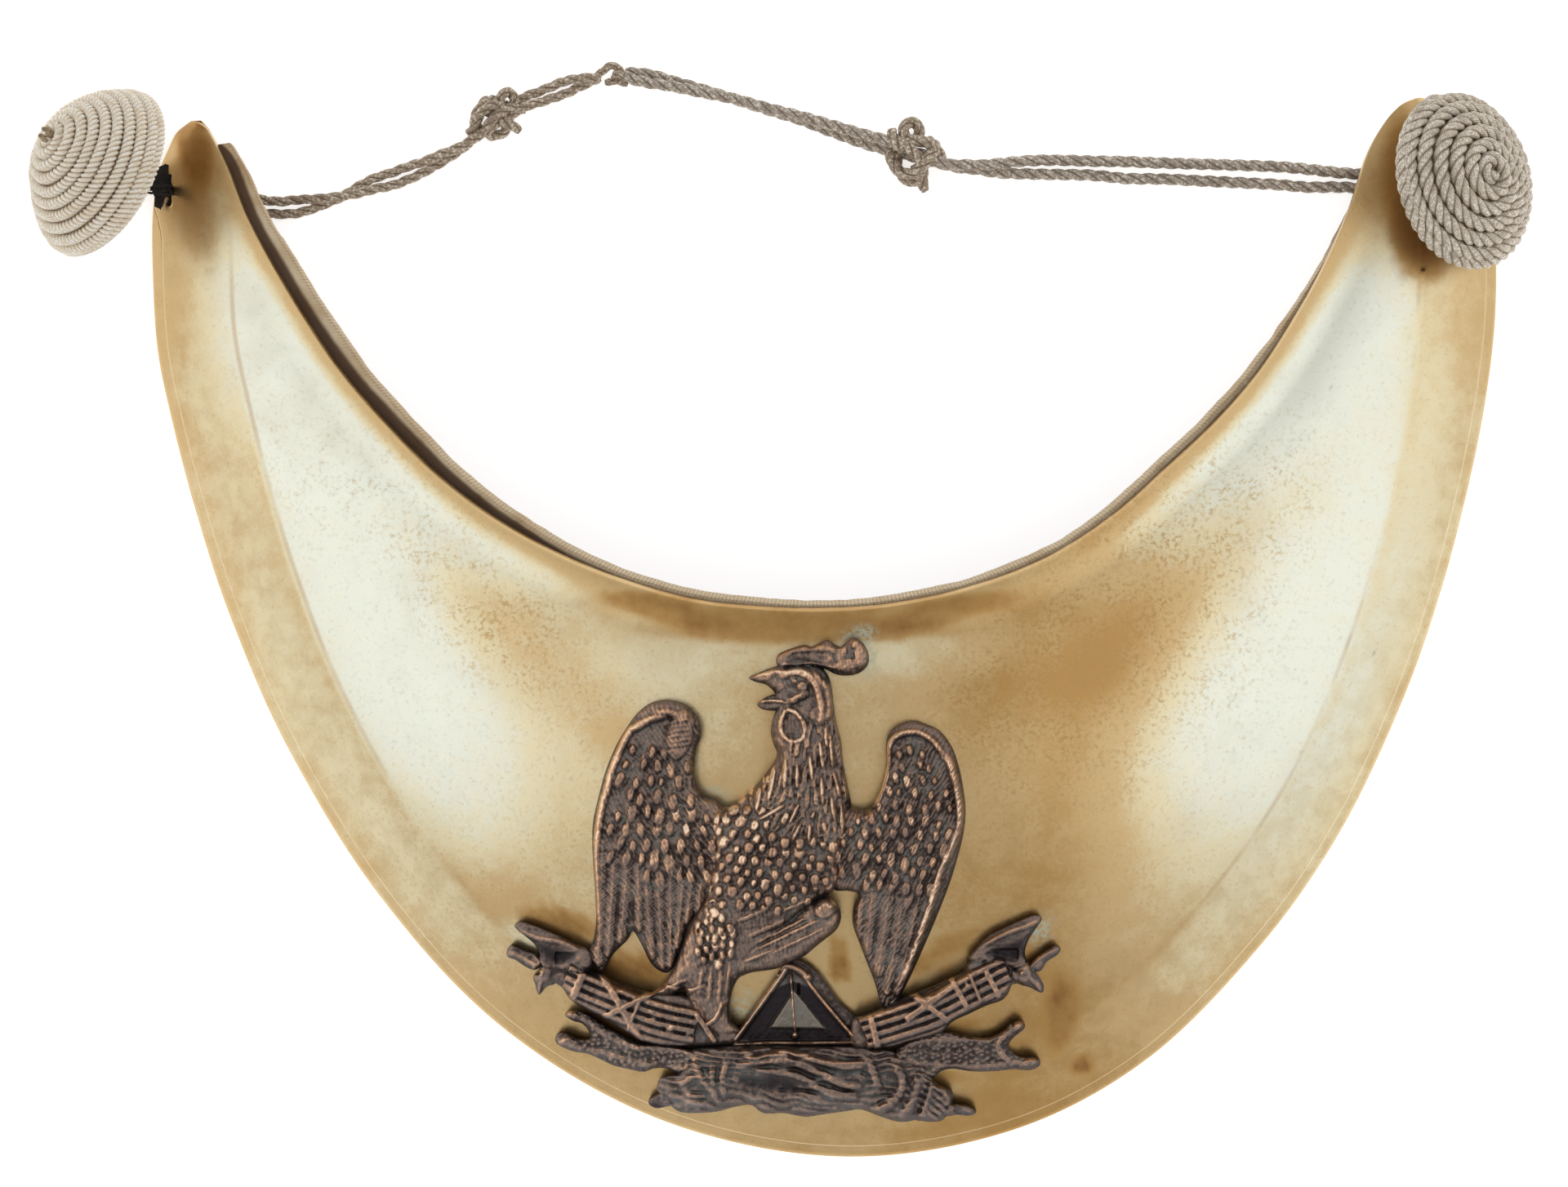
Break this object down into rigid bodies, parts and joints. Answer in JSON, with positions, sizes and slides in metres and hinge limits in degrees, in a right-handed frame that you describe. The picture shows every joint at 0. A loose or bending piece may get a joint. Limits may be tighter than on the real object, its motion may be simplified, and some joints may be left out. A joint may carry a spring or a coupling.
{
  "type": "officer's gorget",
  "caption": "Domed brass crescent worn at the throat, lined with leather, with a bronze badge of a cock on its front, a cord-wound button on each horn and a knotted neck tie of cord.",
  "frame": {"origin": "middle of the bottom of the bounding box of the gorget without its neck tie, on the table it lies on", "axes": "+X across the crescent from the horn with the tall button to the horn with the flat button, +Y from the lower edge towards the horns, +Z out of the front of the badge"},
  "size_m": [0.1673, 0.1217, 0.0243],
  "materials": {
    "brass": "polished sheet, worn, with brown stains at the horns",
    "leather": "old vegetable-tanned leather with a raw cut edge",
    "bronze": "dark patinated bronze, copper-bright on the high spots",
    "silver_cord": "twisted silver-grey metal-thread cord",
    "black_thread": "black sewing thread"
  },
  "bodies": {
    "root": {"gorget_plate": "brass", "lining": "leather", "device": "bronze", "button_left": "silver_cord", "button_right": "silver_cord", "thread_left": "black_thread", "thread_right": "black_thread", "knot_left": "silver_cord", "knot_right": "silver_cord", "cord_link": "silver_cord", "cord_left_a": "silver_cord", "cord_left_b": "silver_cord", "cord_left_c": "silver_cord", "cord_left_d": "silver_cord", "cord_right_a": "silver_cord", "cord_right_b": "silver_cord", "cord_right_c": "silver_cord", "cord_right_d": "silver_cord"}
  },
  "joints": []
}
